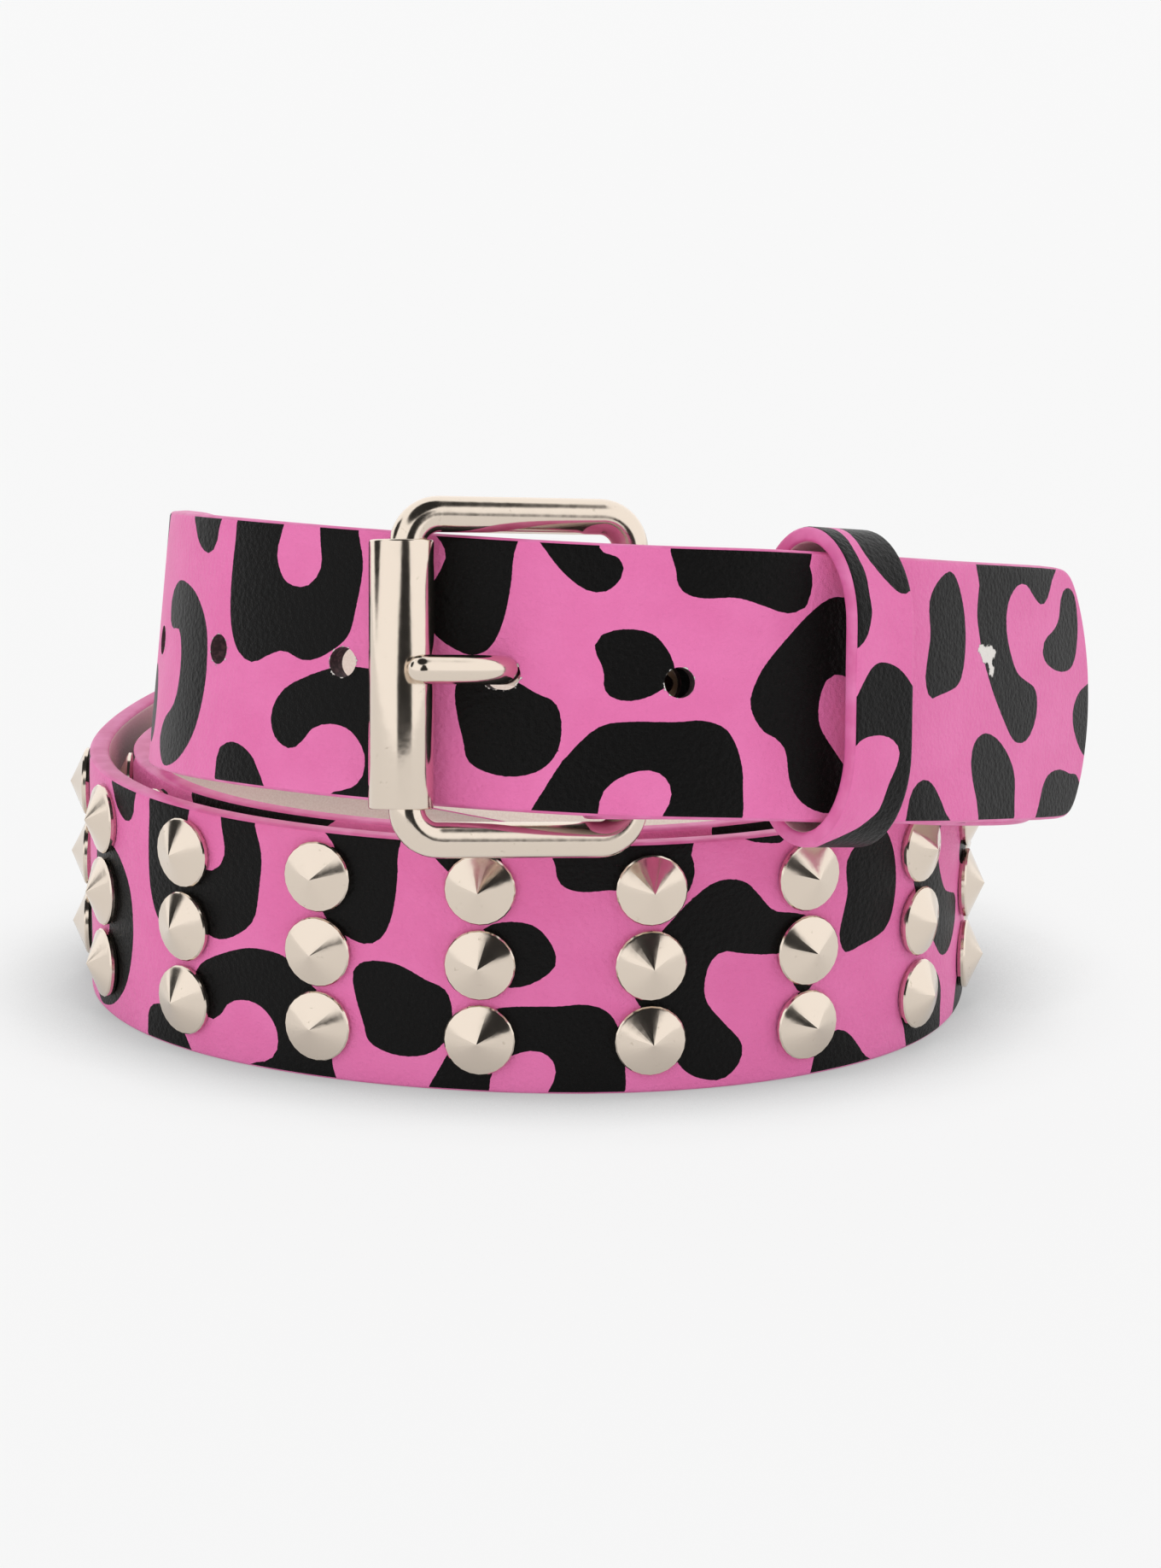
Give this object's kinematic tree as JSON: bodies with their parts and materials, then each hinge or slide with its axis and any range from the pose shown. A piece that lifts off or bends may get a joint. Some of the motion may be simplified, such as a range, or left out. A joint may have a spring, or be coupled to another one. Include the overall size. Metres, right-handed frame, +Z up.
{
  "type": "studded belt",
  "caption": "Wide leather-look belt fastened and wound into a standing coil, with cone studs, punched holes, a roller buckle and a keeper loop.",
  "frame": {"origin": "middle of the coil's footprint, on the floor it stands on", "axes": "+Z up, the buckle faces -Y, the free end points to +X"},
  "size_m": [0.1578, 0.1696, 0.0936],
  "materials": {
    "strap": "satin",
    "nickel": "polished"
  },
  "bodies": {
    "root": {"strap": "strap", "buckle_frame": "nickel", "roller": "nickel", "prong": "nickel", "keeper": "strap"}
  },
  "joints": []
}
